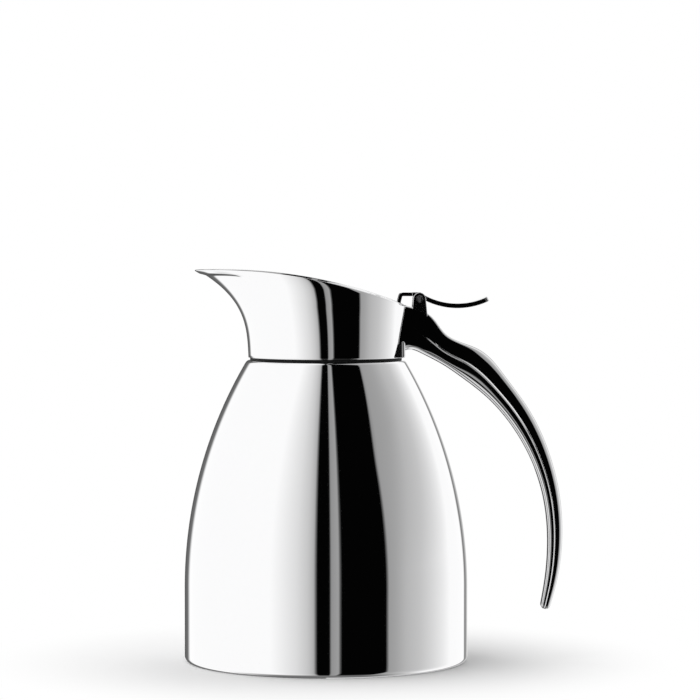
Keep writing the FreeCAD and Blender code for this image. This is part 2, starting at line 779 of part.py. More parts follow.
parts = {
    "outer_shell": make_outer_shell(),
    "inner_liner": make_inner_liner(),
    "base_plate": make_base_plate(),
    "evacuation_plug": make_evacuation_plug(),
    "getter_cup": make_getter_cup(),
    "getter_pellet": make_getter_pellet(),
    "neck_ferrule": tube(ferrule_inner, ferrule_outer, shoulder_height, ferrule_top),
    "neck_gasket": tube(gasket_radius - gasket_width, gasket_radius, shoulder_height, seam_height),
    "neck_seal": tube(neck_radius + fixed_gap, neck_radius + fixed_gap + seal_width, lip_top,
                      lip_top + seal_thickness),
    "spout_collar": make_spout_collar(),
    "collar_insert": make_collar_insert(),
    "handle": make_handle(),
    "backing_plate": make_backing_plate(),
    "handle_screws": make_handle_screws(),
    "hinge_pin": make_hinge_pin(),
    "lid_spring": make_lid_spring(),
    "lid_cover": make_lid_cover(),
    "thumb_lever": make_thumb_lever(),
    "lever_rivets": make_lever_rivets(),
    "lid_plug": make_lid_plug(),
    "lid_insulation": make_lid_insulation(),
    "lid_stud": make_lid_stud(),
    "lid_nut": make_lid_nut(),
    "lid_seal": make_lid_seal(),
}

os.makedirs("parts", exist_ok=True)
for name, shape in parts.items():
    box = shape.BoundBox
    print(f"{name}: {len(shape.Solids)} solid(s), valid {shape.isValid()}, {shape.Volume:.1f} mm3,"
          f" x {box.XMin:.1f}..{box.XMax:.1f}, y {box.YMin:.1f}..{box.YMax:.1f},"
          f" z {box.ZMin:.1f}..{box.ZMax:.1f}")
    shape.exportStep(f"parts/{name}.step")
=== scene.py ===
"""Dresses the thermal beverage server: polished pieces, finishes, studio and camera."""

import json
import math

import bpy
import numpy as np
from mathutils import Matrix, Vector


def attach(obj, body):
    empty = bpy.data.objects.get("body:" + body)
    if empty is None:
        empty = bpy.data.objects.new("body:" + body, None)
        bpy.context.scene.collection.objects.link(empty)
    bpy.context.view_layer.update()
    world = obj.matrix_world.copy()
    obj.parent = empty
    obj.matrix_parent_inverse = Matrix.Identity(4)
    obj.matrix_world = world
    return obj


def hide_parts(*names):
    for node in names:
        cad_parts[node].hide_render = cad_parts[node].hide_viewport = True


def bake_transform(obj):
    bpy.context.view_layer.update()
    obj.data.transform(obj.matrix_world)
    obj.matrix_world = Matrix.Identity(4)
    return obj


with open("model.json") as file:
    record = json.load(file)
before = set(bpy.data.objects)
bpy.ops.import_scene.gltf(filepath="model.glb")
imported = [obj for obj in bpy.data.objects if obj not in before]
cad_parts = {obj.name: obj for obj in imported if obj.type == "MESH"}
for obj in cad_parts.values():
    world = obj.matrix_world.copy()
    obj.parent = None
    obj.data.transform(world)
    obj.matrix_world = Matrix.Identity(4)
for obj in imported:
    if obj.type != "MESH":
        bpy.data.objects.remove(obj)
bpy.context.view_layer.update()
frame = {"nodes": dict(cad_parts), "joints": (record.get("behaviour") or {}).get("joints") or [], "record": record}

bl_info = {
    "name": "Thermal beverage server",
    "version": (1, 0, 0),
    "blender": (4, 5, 0),
    "location": "View3D > Sidebar > Server",
    "description": "Builds the polished pieces, finishes and studio of a thermal beverage server",
    "category": "Object",
}

MM = 0.001

# Place of the pin, from the joint that the lid turns on
PIN = Vector(frame["joints"][0]["pos_m"])

# Rows and columns of the large meshes
SHELL_COLUMNS = 288
COLLAR_COLUMNS = 400
COLLAR_ROWS = 70
LID_COLUMNS = 320
LID_ROWS = 60
SECTION_PLACES = 61
TRIAL_ROWS = 600
HORN_ROWS = 300
LEVER_ROWS = 60
COIL_ROWS = 180


# Properties

def length(millimetres, description):
    """A length property whose default is written in millimetres."""
    return bpy.props.FloatProperty(description=description, default=millimetres * MM, unit="LENGTH",
                                   precision=4)


def share(default, description):
    """A property without a unit."""
    return bpy.props.FloatProperty(description=description, default=default)


def turn(degrees, description):
    """An angle property whose default is written in degrees."""
    return bpy.props.FloatProperty(description=description, default=math.radians(degrees), subtype="ANGLE")


def tint(default, description):
    """A colour property."""
    return bpy.props.FloatVectorProperty(description=description, default=default, size=3, min=0.0, max=1.0,
                                         subtype="COLOR")


class VesselSizes(bpy.types.PropertyGroup):
    """Sizes of the outer shell."""

    radius: length(50.0, "Outside radius at the foot")
    straight_height: length(26.0, "Height at which the wall starts to curve in")
    shoulder_height: length(106.4, "Height of the shoulder under the gasket")
    shoulder_radius: length(27.9, "Radius of the shoulder before its rounding")
    shoulder_rounding: length(1.8, "Rounding of the shoulder's edge")
    foot_rounding: length(2.0, "Rounding of the foot's edge")
    foot_opening: length(45.5, "Radius of the opening under the base plate")
    neck_hole: length(20.9, "Radius of the hole for the liner's neck")
    wall: length(0.8, "Thickness of the sheet")


class CollarSizes(bpy.types.PropertyGroup):
    """Sizes of the spout collar and of the lid inside its rim."""

    radius: length(27.4, "Outside radius at the seam")
    seam_height: length(107.4, "Height of the collar's lower edge")
    rise: length(31.0, "From the seam to the rim's highest point")
    flare: length(1.3, "Added to the radius at the rim")
    spout_reach: length(17.2, "How far the spout stands out at the rim")
    spout_power: share(3.1, "How late the spout leaves the collar, going up")
    spout_spread: turn(24.0, "Half-angle of the spout, seen from above")
    egg_reach: length(5.0, "Part of the spout's reach that swells the whole front")
    egg_power: share(2.0, "How late the swelling leaves the collar, going up")
    rim_apex: length(39.0, "From the axis to the rim's highest point, towards the spout")
    rim_arc: length(185.0, "Radius of the rim's slope, seen from the side")
    wall: length(0.8, "Thickness of the sheet")
    bead_reach: length(0.7, "How far the rolled rim stands out")
    swell_height: length(9.0, "From the rim down to where the wall starts to swell")
    crease_height: length(2.2, "The same under the spout's lip")
    crease_spread: turn(37.0, "How far round from the spout the crease goes")
    crease_fade: turn(6.0, "How gently it ends")
    lip_height: length(1.3, "Of the rolled rim at the spout")
    roll_height: length(3.4, "Of the rolled rim at the sides")
    roll_spread: turn(98.0, "How far round from the spout this roll goes")
    roll_fade: turn(14.0, "How gently it ends")
    back_height: length(0.7, "Of the rolled rim at the back")
    rim_rounding: length(0.3, "Of the rim's inner edge")
    lid_gap: length(0.5, "Between the collar and the lid's edge")
    lid_drop: length(1.0, "From the rim down to the lid")
    lid_wall: length(1.0, "Thickness of the lid's cover")
    lid_rounding: length(0.4, "Rounding of the cover's edge")


class HandleSizes(bpy.types.PropertyGroup):
    """Sizes of the handle and its ears."""

    arc_radius: length(69.0, "Radius of the grip's inner edge, seen from the side")
    arc_setback: length(18.0, "From the collar's radius in to the arc's centre")
    arc_drop: length(64.4, "From the seam down to the arc's centre")
    outer_excess: length(15.2, "Outer arc's radius over the inner one's")
    outer_setback: length(10.0, "Outer arc's centre from the inner one's, to the spout")
    outer_lift: length(2.8, "Outer arc's centre from the inner one's, upwards")
    tip_angle: turn(-18.8, "Where the tip is, seen from the inner arc's centre")
    tip_thinning: share(0.3, "Share by which the tip is thinned on its inner side")
    half_width: length(6.6, "Of the grip")
    tip_half_width: length(3.6, "Of the grip at its tip")
    root_reach: length(22.9, "Of the root beyond the collar")
    root_half_width: length(14.4, "Of the root inside the collar")
    outer_corner: share(4.2, "How square the grip's outer edges are")
    inner_corner: share(4.8, "How square the grip's inner edges are")
    fit: length(0.1, "Between the handle and the collar")
    ear_inner: length(4.3, "From the middle plane to the ear")
    ear_outer: length(6.5, "From the middle plane to the ear's outside")
    ear_radius: length(2.2, "Of the ear's round top about the pin")
    ear_front: length(2.97, "From the pin to the foot of the ear's front edge")
    ear_back: length(3.08, "From the pin to the foot of the ear's back edge")
    ear_height: length(8.8, "From the pin down to the ear's foot")
    ear_rounding: length(0.12, "Rounding of the ear's edges")
    tail_front: length(20.2, "From the axis to the tail's hidden front")
    tail_depth: length(0.3, "Of the tail past the collar's radius")
    tail_height: length(5.8, "Of the tail above the seam")
    tail_half_width: length(13.9, "Of the tail at the seam")
    tail_taper: length(2.7, "Off the tail's half-width, going up")
    tail_rounding: length(0.8, "Of the tail's lower edge")
    groove: length(0.25, "Depth of the groove along the grip's sides")
    tail_corner: length(0.9, "Rounding of the tail's upright edges")


class LeverSizes(bpy.types.PropertyGroup):
    """Sizes of the thumb lever and its spring, from the pin."""

    half_width: length(3.8, "Of the barrel, the arm and the foot")
    slot_half: length(2.45, "Of the slot in the barrel for the spring")
    barrel_radius: length(2.2, "About the pin")
    bore: length(1.05, "Radius of the hole for the pin")
    reach: length(24.2, "To the tip of the thumb pad")
    pad_half: length(4.9, "At the tip")
    pad_rounding: length(0.9, "Of the tip's corners, seen from above")
    wall: length(1.6, "Thickness of the lever")
    curve: length(24.0, "Radius of the lever's top, seen from the side")
    low_offset: length(13.3, "To the lever's lowest point")
    low_drop: length(1.7, "Down to the lever's top there")
    arm_wall: length(1.3, "Thickness of the strap over the rim")
    toe: length(7.9, "To the front of the strap")
    arm_bend: length(0.8, "From the strap's corners to where they start to bend")
    arm_top: length(6.5, "To the strap's upper corner")
    foot: length(17.5, "To the front of the plate on the lid")
    foot_drop: length(0.16, "Of the plate's top below the rim's arc")
    rounding: length(0.06, "Of the edges")
    wire: length(0.35, "Radius of the spring's wire")
    coil: length(1.75, "Radius of the spring at the middle of its wire")
    pitch: length(1.15, "Of the spring's turns")
    leg: length(2.6, "Length of the spring's straight ends")
    turns: share(2.75, "Of the spring")


class FinishColours(bpy.types.PropertyGroup):
    """Colours of the finishes."""

    polished: tint((0.90, 0.90, 0.905), "Mirror-polished sheet")
    cast: tint((0.88, 0.88, 0.885), "Mirror-polished handle and lever")
    brushed: tint((0.62, 0.62, 0.63), "Satin steel inside the vessel")
    turned: tint((0.42, 0.42, 0.43), "Pin, rivets and nut")
    plastic: tint((0.018, 0.018, 0.019), "Insert and lid plug")
    rubber: tint((0.012, 0.012, 0.012), "Gasket at the seam")
    silicone: tint((0.42, 0.42, 0.43), "Seals")
    foam: tint((0.82, 0.81, 0.78), "Insulation in the lid")
    getter: tint((0.12, 0.12, 0.125), "Sintered pellet")
    floor: tint((0.93, 0.93, 0.93), "Studio floor")
    dull_shine: share(0.15, "Specular level of plastic and rubber")


class StageSizes(bpy.types.PropertyGroup):
    """Camera, floor and lamp."""

    camera_distance: length(1122.0, "From the vessel's axis")
    camera_height: length(147.8, "Above the floor")
    camera_yaw: turn(0.433, "Towards the handle")
    camera_pitch: turn(1.935, "Downwards")
    lens: share(163.4, "Focal length on a 36 mm sensor")
    floor_half: length(4000.0, "From the object to the floor's edge")
    shade_near: length(50.0, "From the axis to where the floor starts to turn white")
    shade_far: length(125.0, "From the axis to where the floor is white")
    lamp_height: length(1300.0, "Of the soft lamp over the object")
    lamp_size: length(1500.0, "Width of the soft lamp")
    lamp_power: share(7.0, "Watts of the soft lamp")


class ServerSettings(bpy.types.PropertyGroup):
    """All settings of the server."""

    vessel: bpy.props.PointerProperty(type=VesselSizes)
    collar: bpy.props.PointerProperty(type=CollarSizes)
    handle: bpy.props.PointerProperty(type=HandleSizes)
    lever: bpy.props.PointerProperty(type=LeverSizes)
    finish: bpy.props.PointerProperty(type=FinishColours)
    stage: bpy.props.PointerProperty(type=StageSizes)


# Meshes from grids of points

def places(*parts):
    """Points from their coordinates, which are spread to one shape."""
    return np.stack(np.broadcast_arrays(*parts), axis=-1)


def unit(vectors):
    """Vectors of length one."""
    return vectors / np.linalg.norm(vectors, axis=-1, keepdims=True)


def enclosed(points, quads):
    """The volume inside closed quads: a sum of tetrahedra on the origin."""
    a, b, c, d = (points[quads[:, i]] for i in range(4))
    return (np.einsum("ij,ij->", a, np.cross(b, c)) + np.einsum("ij,ij->", a, np.cross(c, d))) / 6


def closed_grid(points, ends="loop"):
    """Points and quads of a grid whose columns wrap.

    ends "loop" joins the last row to the first, and "poles" closes each end row to its middle.
    """
    rows, columns = points.shape[:2]
    flat = points.reshape(-1, 3)
    bands = rows if ends == "loop" else rows - 1
    row, column = np.meshgrid(np.arange(bands), np.arange(columns), indexing="ij")
    right = (column + 1) % columns
    here, above = row * columns, (row + 1) % rows * columns
    quads = places(here + column, here + right, above + right, above + column).reshape(-1, 4)
    if ends == "poles":
        column, right, last = column[0], right[0], (rows - 1) * columns
        start, end = len(flat), len(flat) + 1
        flat = np.concatenate([flat, [points[0].mean(axis=0)], [points[-1].mean(axis=0)]])
        quads = np.concatenate([quads, places(right, column, start, start),
                                places(last + column, last + right, end, end)])
    if enclosed(flat, quads) < 0:
        quads = quads[:, ::-1]
    return flat, quads


def put(name, data):
    """A new object in the scene, at the origin."""
    made = bpy.data.objects.new(name, data)
    bpy.context.scene.collection.objects.link(made)
    return made


def make_piece(name, shells, slot, node, body=None):
    """One smooth object from closed shells that stands for a CAD node and rides on a body, if any."""
    points, faces, start = [], [], 0
    for flat, quads in shells:
        points.append(flat)
        faces += [list(dict.fromkeys(face)) for face in (quads + start).tolist()]
        start += len(flat)
    mesh = bpy.data.meshes.new(name)
    mesh.from_pydata(np.concatenate(points), [], faces)
    mesh.polygons.foreach_set("use_smooth", np.ones(len(mesh.polygons), dtype=bool))
    mesh.update()
    piece = put(name, mesh)
    if body is not None:
        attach(piece, body)
    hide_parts(node)
    mesh.materials.append(finish_for(slot))
    return piece


def quarter(count):
    """Angles over a quarter turn, both ends included."""
    return np.linspace(0, math.pi / 2, count)


def whole_turn(count):
    """Angles right round, without the last one."""
    return np.linspace(0, 2 * math.pi, count, endpoint=False)


def arc(centre, radius, start, end, count):
    """Points of an arc in a plane, angles from the first axis in radians."""
    angle = np.linspace(start, end, count)
    return places(centre[0] + radius * np.cos(angle), centre[1] + radius * np.sin(angle))


def line(start, end, count):
    """Evenly spaced points on a line, without its ends."""
    part = np.linspace(0, 1, count + 2)[1:-1, None]
    return np.asarray(start) * (1 - part) + np.asarray(end) * part


def revolved(profile, count):
    """A closed (radius, height) profile turned about the Z axis: x = r cos a, y = r sin a."""
    angle = whole_turn(count)
    radius, height = profile[:, :1], profile[:, 1:]
    return closed_grid(places(radius * np.cos(angle), radius * np.sin(angle), height))


def smooth_values(knots, values, at):
    """A natural cubic spline through rows of values at the knots, worked out at other places."""
    steps = np.diff(knots)
    slopes = np.diff(values, axis=0) / steps[:, None]
    inner = np.arange(1, len(knots) - 1)
    system = np.eye(len(knots))
    system[inner, inner - 1] = steps[:-1]
    system[inner, inner] = 2 * (steps[:-1] + steps[1:])
    system[inner, inner + 1] = steps[1:]
    right = np.zeros_like(values)
    right[1:-1] = 6 * np.diff(slopes, axis=0)
    bends = np.linalg.solve(system, right)
    span = np.clip(np.searchsorted(knots, at) - 1, 0, len(knots) - 2)
    after = ((at - knots[span]) / steps[span])[..., None]
    before = 1 - after
    curve = (before ** 3 - before) * bends[span] + (after ** 3 - after) * bends[span + 1]
    return before * values[span] + after * values[span + 1] + curve * steps[span][..., None] ** 2 / 6


# Vessel

def shell_skin(sizes, inset):
    """The shell's profile from the foot's opening to the neck's hole, moved inwards by inset.

    A foot arc, a straight wall, a large arc that is tangent to it, a shoulder arc that is tangent
    to the large arc and to the flat shoulder.
    """
    straight = sizes.straight_height
    rise = sizes.shoulder_height - straight
    depth = sizes.radius - sizes.shoulder_radius
    large = (rise ** 2 + depth ** 2) / (2 * depth)
    centre_x = sizes.radius - large
    radius = sizes.radius - inset
    top = sizes.shoulder_height - inset
    foot = sizes.foot_rounding - inset
    small = sizes.shoulder_rounding - inset
    reach = large - inset - small
    small_z = top - small
    small_x = centre_x + math.sqrt(reach ** 2 - (small_z - straight) ** 2)
    join = math.atan2(small_z - straight, small_x - centre_x)
    corner = np.array([[sizes.foot_opening, inset]])
    foot_arc = arc((radius - foot, inset + foot), foot, -math.pi / 2, 0, 14)
    wall = line((radius, inset + foot), (radius, straight), 12)
    curve = arc((centre_x, straight), large - inset, 0, join, 120)
    shoulder = arc((small_x, small_z), small, join, math.pi / 2, 14)[1:]
    hole = np.array([[sizes.neck_hole, top]])
    return np.concatenate([corner, line(corner[0], foot_arc[0], 3), foot_arc, wall, curve, shoulder,
                           line(shoulder[-1], hole[0], 4), hole])


class SERVER_OT_vessel(bpy.types.Operator):
    """Make the polished outer shell as one smooth turned sheet"""

    bl_idname = "server.vessel"
    bl_label = "Outer shell"

    def execute(self, context):
        sizes = context.scene.server.vessel
        profile = np.concatenate([shell_skin(sizes, 0.0), shell_skin(sizes, sizes.wall)[::-1]])
        shell = revolved(profile, SHELL_COLUMNS)
        make_piece("polished_shell", [shell], "polished_steel", "outer_shell", "server")
        return {"FINISHED"}


# Spout collar and lid

def collar_radius(sizes, angle, height, inset):
    """The collar's radius at an angle from -X and a height, moved inwards by inset.

    r = radius + flare*u + spout*b + egg*(cos(a)*(1 + cos(a))/2 - b), where b = exp(-(a/spread)^2), and
    spout and egg grow as powers of u, the share of the way up to the rim.
    """
    up = np.clip((height - sizes.seam_height) / sizes.rise, 0, None)
    bump = np.exp(-(angle / sizes.spout_spread) ** 2)
    swell = np.cos(angle) * (1 + np.cos(angle)) / 2 - bump
    radius, slope = sizes.radius + sizes.flare * up, sizes.flare
    for reach, power, form in ((sizes.spout_reach, sizes.spout_power, bump),
                               (sizes.egg_reach, sizes.egg_power, swell)):
        radius = radius + reach * up ** power * form
        slope = slope + reach * power * up ** (power - 1) * form
    return radius - inset * np.sqrt(1 + (slope / sizes.rise) ** 2)


def rim_height(sizes, x, drop):
    """The height of the rim's arc at x, lowered by drop."""
    low = sizes.seam_height + sizes.rise - sizes.rim_arc
    return low + np.sqrt((sizes.rim_arc - drop) ** 2 - (x + sizes.rim_apex) ** 2)


SETTLING_ROUNDS = 12


def collar_point(sizes, angle, drop, inset):
    """Points of the collar at a drop below the rim; the height is settled by repeating the rule."""
    height = np.full(np.broadcast(angle, drop).shape, sizes.seam_height + sizes.rise)
    for _ in range(SETTLING_ROUNDS):
        radius = collar_radius(sizes, angle, height, inset)
        height = rim_height(sizes, -radius * np.cos(angle), drop)
    return radius, height


CROWDING_SHARE = 0.55   # of the even spacing of columns that is taken away at the spout


def around(radius, angle, height):
    """Points from a radius, an angle from -X and a height."""
    return places(-radius * np.cos(angle), radius * np.sin(angle), height)


def spout_angles(count):
    """Angles right round from -X, crowded together at the spout."""
    part = np.linspace(-1, 1, count, endpoint=False)
    return math.pi * part * (1 - CROWDING_SHARE * (1 - np.abs(part)))


def fading(angle, spread, fade):
    """A share that falls from 1 to 0 about an angle: (1 - tanh((a - spread)/fade))/2."""
    return (1 - np.tanh((angle - spread) / fade)) / 2


def collar_rows(sizes, angle, drop, inset, part):
    """Rows of the collar's wall: part 0 is at the seam and 1 at a drop below the rim."""
    _, top = collar_point(sizes, angle, drop, inset)
    height = sizes.seam_height + (top - sizes.seam_height) * part
    return around(collar_radius(sizes, angle, height, inset), angle, height)


BEAD_SHARE = 0.14            # of the bead's reach that is left away from the spout
ROW_POWER = 0.8              # crowds the collar's rows towards the rim
LID_SHARES = (0.02, 0.985)   # of the lid's radius, from its middle to the edge's rounding


class SERVER_OT_spout_collar(bpy.types.Operator):
    """Make the polished head with its spout and rolled rim"""

    bl_idname = "server.spout_collar"
    bl_label = "Spout collar"

    def execute(self, context):
        sizes = context.scene.server.collar
        angle = spout_angles(COLLAR_COLUMNS)[None, :]
        part = np.linspace(0, 1, COLLAR_ROWS)[:, None] ** ROW_POWER
        # At the spout the rim is a bead with a crease under it; elsewhere the wall swells slowly,
        # and the roll over the top grows small towards the back
        near = fading(np.abs(angle), sizes.crease_spread, sizes.crease_fade)
        side = fading(np.abs(angle), sizes.roll_spread, sizes.roll_fade)
        swell_drop = sizes.swell_height + (sizes.crease_height - sizes.swell_height) * near
        roll_drop = sizes.back_height + (sizes.roll_height - sizes.back_height) * side
        roll_drop += (sizes.lip_height - roll_drop) * near
        reach = sizes.bead_reach * (BEAD_SHARE + (1 - BEAD_SHARE) * near)
        squareness = 1 - near / 2
        outside = collar_rows(sizes, angle, swell_drop, 0.0, part)
        rise = np.linspace(0, 1, 24)[1:-1, None]
        outer = quarter(28)[:, None]
        cosine = np.maximum(np.cos(outer), 0)
        inner = quarter(8)[1:, None]
        soft = sizes.rim_rounding
        drop = np.concatenate([swell_drop + (roll_drop - swell_drop) * rise,
                               roll_drop * (1 - np.sin(outer) ** squareness),
                               soft * (1 - np.cos(inner)) + 0 * angle])
        inset = np.concatenate([-reach * rise ** 2 * (3 - 2 * rise),
                                -reach + (sizes.wall + reach - soft) * (1 - cosine ** squareness),
                                sizes.wall - soft + soft * np.sin(inner) + 0 * angle])
        bead_radius, bead_height = collar_point(sizes, angle, drop, inset)
        bead = around(bead_radius, angle, bead_height)
        inside = collar_rows(sizes, angle, 2 * soft, sizes.wall, part[::-1])
        points = np.concatenate([outside, bead, inside])
        make_piece("polished_collar", [closed_grid(points)], "polished_steel", "spout_collar", "server")
        return {"FINISHED"}


class SERVER_OT_lid_cover(bpy.types.Operator):
    """Make the polished plate inside the rim"""

    bl_idname = "server.lid_cover"
    bl_label = "Lid cover"

    def execute(self, context):
        sizes = context.scene.server.collar
        angle = spout_angles(LID_COLUMNS)[None, :]
        gap = sizes.wall + sizes.lid_gap
        soft = sizes.lid_rounding
        bend = quarter(8)[:, None]
        top_inset = gap + soft * (1 - np.sin(bend))
        top_drop = sizes.lid_drop + soft * (1 - np.cos(bend))
        low_drop = 2 * sizes.lid_drop + sizes.lid_wall - top_drop[::-1]
        rim_inset = np.concatenate([top_inset, top_inset[::-1]])
        rim_drop = np.concatenate([top_drop, low_drop])
        edge_radius, _ = collar_point(sizes, angle, rim_drop, rim_inset)
        spread = np.linspace(*LID_SHARES, LID_ROWS)[:, None]
        top = edge_radius[:1] * spread
        low = edge_radius[-1:] * spread[::-1]
        radius = np.concatenate([top, edge_radius, low])
        drop = np.concatenate([0 * spread + sizes.lid_drop, rim_drop,
                               0 * spread + sizes.lid_drop + sizes.lid_wall])
        height = rim_height(sizes, -radius * np.cos(angle), drop)
        points = around(radius, angle, height)
        make_piece("polished_lid", [closed_grid(points, "poles")], "polished_steel", "lid_cover", "lid")
        return {"FINISHED"}


# Handle

# Root sections: underside and top as shares of the root's reach and of the pin's height over the
# seam, half-widths there as shares of the root's, how square the underside and the top are, the
# share of the groove's depth, and how late the half-width falls on the way up.
ROOT_SHARES = np.array([
    [-0.20, -0.015, -0.20, 0.95, 0.88, 0.450, 6.0, 24.0, 0.0, 1.8],
    [0.040, 0.125, 0.052, 0.88, 0.78, 0.435, 5.5, 24.0, 0.0, 1.8],
    [0.28, 0.063, 0.40, 0.72, 0.63, 0.430, 5.0, 24.0, 0.22, 1.5],
    [0.56, -0.10, 0.655, 0.39, 0.53, 0.410, 4.8, 14.0, 0.85, 1.2],
])
GRIP_ANGLES = np.radians([57.0, 47.0, 36.0, 24.0, 11.0, -2.0, -12.0])
OUTER_WIDTH_SHARE = 0.74   # the outer edge's half-width over the inner one's


def grip_sections(sizes, collar, angle):
    """Underside and outer edge of the grip on rays from the inner arc's centre, and its half-width."""
    ray = places(np.cos(angle), np.sin(angle))
    centre = np.array([collar.radius - sizes.arc_setback, collar.seam_height - sizes.arc_drop])
    inner = centre + ray * sizes.arc_radius
    shift = np.array([sizes.outer_setback, -sizes.outer_lift])
    along = ray @ shift
    reach = np.sqrt(along ** 2 - shift @ shift + (sizes.arc_radius + sizes.outer_excess) ** 2) - along
    outer = centre + ray * reach[:, None]
    thinning = sizes.tip_thinning * (np.minimum(angle, 0) / sizes.tip_angle) ** 2
    inner = inner + (outer - inner) * thinning[:, None]
    part = (GRIP_ANGLES[0] - angle) / (GRIP_ANGLES[0] - sizes.tip_angle)
    half = sizes.half_width + (sizes.tip_half_width - sizes.half_width) * part
    same = np.ones(len(angle))
    return np.column_stack([inner, outer, half, half * OUTER_WIDTH_SHARE, same * sizes.inner_corner,
                            same * sizes.outer_corner, same * sizes.groove, same])


def root_sections(sizes, collar):
    """The root's sections in lengths, laid out as the grip's are."""
    lift = PIN.z - collar.seam_height
    wholes = np.array([sizes.root_reach, lift] * 2 + [sizes.root_half_width] * 2
                      + [1.0, 1.0, sizes.groove, 1.0])
    start = np.array([collar.radius, collar.seam_height] * 2 + [0.0] * 6)
    return start + ROOT_SHARES * wholes


GROOVE_PLACE_SHARE = -0.10   # where the groove runs on a section, from the middle towards the top
GROOVE_WIDTH_SHARE = 0.08    # its half-width
GROOVE_EDGE_SHARE = 0.12     # of its half-width, on either side of its edges and of its bottom
FLAT_SHARE = 0.4             # of a corner's radius, to the next point on the flat
EDGE_POWER = 4               # crowds the places round a section at its two edges
CAP_SHARE = 0.98             # of the root's first ring, where the face against the collar ends


def section_points(rows, across, side_sign):
    """Superellipse sections: middle + reach*c, and width*(1 - |c|^p)^(1/p) to each side.

    The power p differs at the underside and at the top. The half-width falls from one to the other as
    ((c + 1)/2)^lateness, less a sharp groove of depth*(1 - |c - place|/width).
    """
    under, top = rows[..., 0:2], rows[..., 2:4]
    low_half, top_half, low_power, top_power, depth, lateness = np.moveaxis(rows[..., 4:], -1, 0)
    power = np.where(across > 0, top_power, low_power)
    side = side_sign * (1 - np.abs(across) ** power) ** (1 / power)
    flat = (under + top) / 2 + (top - under) / 2 * across[..., None]
    away = np.abs(across - GROOVE_PLACE_SHARE) / GROOVE_WIDTH_SHARE
    half = low_half + (top_half - low_half) * ((across + 1) / 2) ** lateness
    half = half - depth * np.clip(1 - away, 0, None)
    return places(flat[..., 0], half * side, flat[..., 1])


def section_places():
    """Places round a section, each with its side: c = 1 - (1 - |w|)^power with the sign of w.

    Near the groove, places at its edges and at its bottom take over.
    """
    even = np.linspace(-1, 1, SECTION_PLACES)
    crowded = np.sign(even) * (1 - (1 - np.abs(even)) ** EDGE_POWER)
    beside = GROOVE_EDGE_SHARE * np.array([-1, 0, 1])
    in_groove = np.add.outer([-1, 0, 1], beside).ravel() * GROOVE_WIDTH_SHARE + GROOVE_PLACE_SHARE
    apart = np.abs(crowded - GROOVE_PLACE_SHARE) > 2 * GROOVE_WIDTH_SHARE
    crowded = np.sort(np.concatenate([crowded[apart], in_groove]))
    across = np.concatenate([crowded, crowded[-2:0:-1]])
    return across, np.repeat([1.0, -1.0], [len(crowded), len(crowded) - 2])


def cap_rows(sizes, collar, ring):
    """The face against the collar, from its middle out to the horn's first ring."""
    spread = np.linspace(0, CAP_SHARE, 12)[:-1, None]
    angle = np.arctan2(ring[:, 1], -ring[:, 0]) % (2 * math.pi)
    middle = ring[:, 2].mean()
    height = middle + (ring[:, 2] - middle) * spread
    radius = collar_radius(collar, math.pi, height, -sizes.fit)
    return around(radius, math.pi + (angle - math.pi) * spread, height)


def tip_rows(sizes, ring, reach):
    """The rounded tip: an ellipse that carries the horn's last ring on."""
    bend = quarter(16)[1:-1, None, None]
    middle = ring.mean(axis=0)
    onward = np.array([math.sin(sizes.tip_angle), 0, -math.cos(sizes.tip_angle)])
    return middle + (ring - middle) * np.cos(bend) + onward * reach * np.sin(bend)


def plate(outline, near, far, rounding):
    """An (x, z) outline carried along Y from near to far, its edges rounded.

    Each row is the outline moved inwards along its normals by rounding*(1 - sin b), at
    rounding*(1 - cos b) from the face, b over a quarter turn. One more row keeps each face flat.
    """
    along = np.roll(outline, -1, axis=0) - np.roll(outline, 1, axis=0)
    normal = unit(places(along[:, 1], -along[:, 0]))
    if np.sum(outline * normal) < np.sum(outline.mean(axis=0) * normal):
        normal = -normal
    bend = quarter(6)
    inset = np.concatenate([[2 * rounding], rounding * (1 - np.sin(bend))])
    depth = np.concatenate([[0.0], rounding * (1 - np.cos(bend))])
    inset = np.concatenate([inset, inset[::-1]])
    side = np.concatenate([near + depth, far - depth[::-1]])
    flat = outline[None] - normal[None] * inset[:, None, None]
    return closed_grid(places(flat[..., 0], side[:, None], flat[..., 1]), "poles")


def ear_outline(sizes):
    """An ear seen from the side: two slanting edges and a round top about the pin."""
    low = PIN.z - sizes.ear_height
    front = (PIN.x - sizes.ear_front, low)
    back = (PIN.x + sizes.ear_back, low)
    top = arc((PIN.x, PIN.z), sizes.ear_radius, math.pi, 0, 24)
    return np.concatenate([[front], line(front, top[0], 10), top, line(top[-1], back, 10), [back],
                           line(back, front, 6)])


def rounded_box(half_x, half_y, radius, count):
    """The outline of a rectangle with round corners: corner centres plus a circle, corner by corner.

    One more point on each side of a corner, a share of its radius away, keeps the sides flat.
    """
    bend = quarter(count)
    angle = np.concatenate([[bend[0]], bend, [bend[-1]]])
    step = np.zeros(count + 2)
    step[[0, -1]] = -FLAT_SHARE * radius, FLAT_SHARE * radius
    angle = np.concatenate([angle + side * math.pi / 2 for side in range(4)])
    step = np.tile(step, 4)
    sign_x = np.repeat([1, -1, -1, 1], count + 2)
    sign_y = np.repeat([1, 1, -1, -1], count + 2)
    return (sign_x * (half_x - radius) + radius * np.cos(angle) - step * np.sin(angle),
            sign_y * (half_y - radius) + radius * np.sin(angle) + step * np.cos(angle))


TAIL_EDGE_SHARE = 0.1   # of the tail's rise, over which its lower edge is rounded


